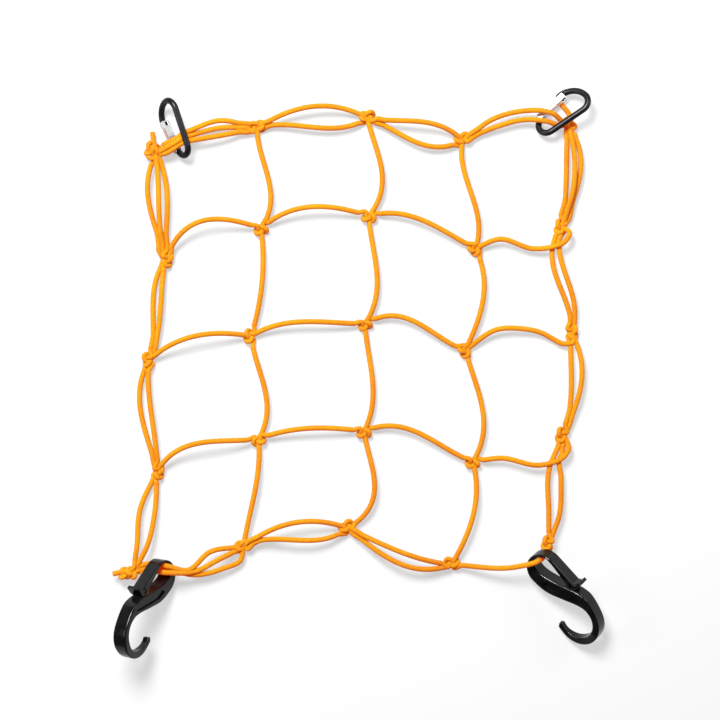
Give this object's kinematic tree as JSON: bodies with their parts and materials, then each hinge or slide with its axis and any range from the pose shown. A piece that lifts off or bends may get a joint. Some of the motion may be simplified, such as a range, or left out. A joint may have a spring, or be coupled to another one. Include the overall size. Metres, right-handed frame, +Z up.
{
  "type": "luggage net",
  "caption": "Elastic cord luggage net, knotted, with a spring-gate carabiner at each top corner and a plastic S-hook at each bottom corner.",
  "frame": {"origin": "middle of the laid-out net, on the surface it lies on", "axes": "+Z up from the surface, +Y towards the edge with the carabiners, +X to the right seen from above"},
  "size_m": [0.39, 0.4485, 0.0571],
  "materials": {
    "orange_cord": "braided elastic sleeve, soft sheen",
    "black_metal": "satin black anodised",
    "bright_metal": "bright, lightly brushed",
    "black_plastic": "moulded, semi-gloss"
  },
  "bodies": {
    "net_and_fittings": {"net": "orange_cord", "carabiner_left_body": "black_metal", "carabiner_left_rivet": "bright_metal", "carabiner_right_body": "black_metal", "carabiner_right_rivet": "bright_metal", "hook_left": "black_plastic", "hook_right": "black_plastic"},
    "gate_left": {"carabiner_left_gate": "bright_metal"},
    "gate_right": {"carabiner_right_gate": "bright_metal"}
  },
  "joints": [
    {"name": "gate_left_hinge", "type": "hinge", "parent": "net_and_fittings", "child": "gate_left", "pos_m": [-0.14417, 0.17497, 0.00522], "axis": [0.7154, 0.3077, -0.6273], "range_deg": [0, 20], "stiffness_Nm_per_rad": 0.02},
    {"name": "gate_right_hinge", "type": "hinge", "parent": "net_and_fittings", "child": "gate_right", "pos_m": [0.14572, 0.20128, 0.00426], "axis": [0.4187, -0.2766, -0.865], "range_deg": [0, 20], "stiffness_Nm_per_rad": 0.02}
  ]
}
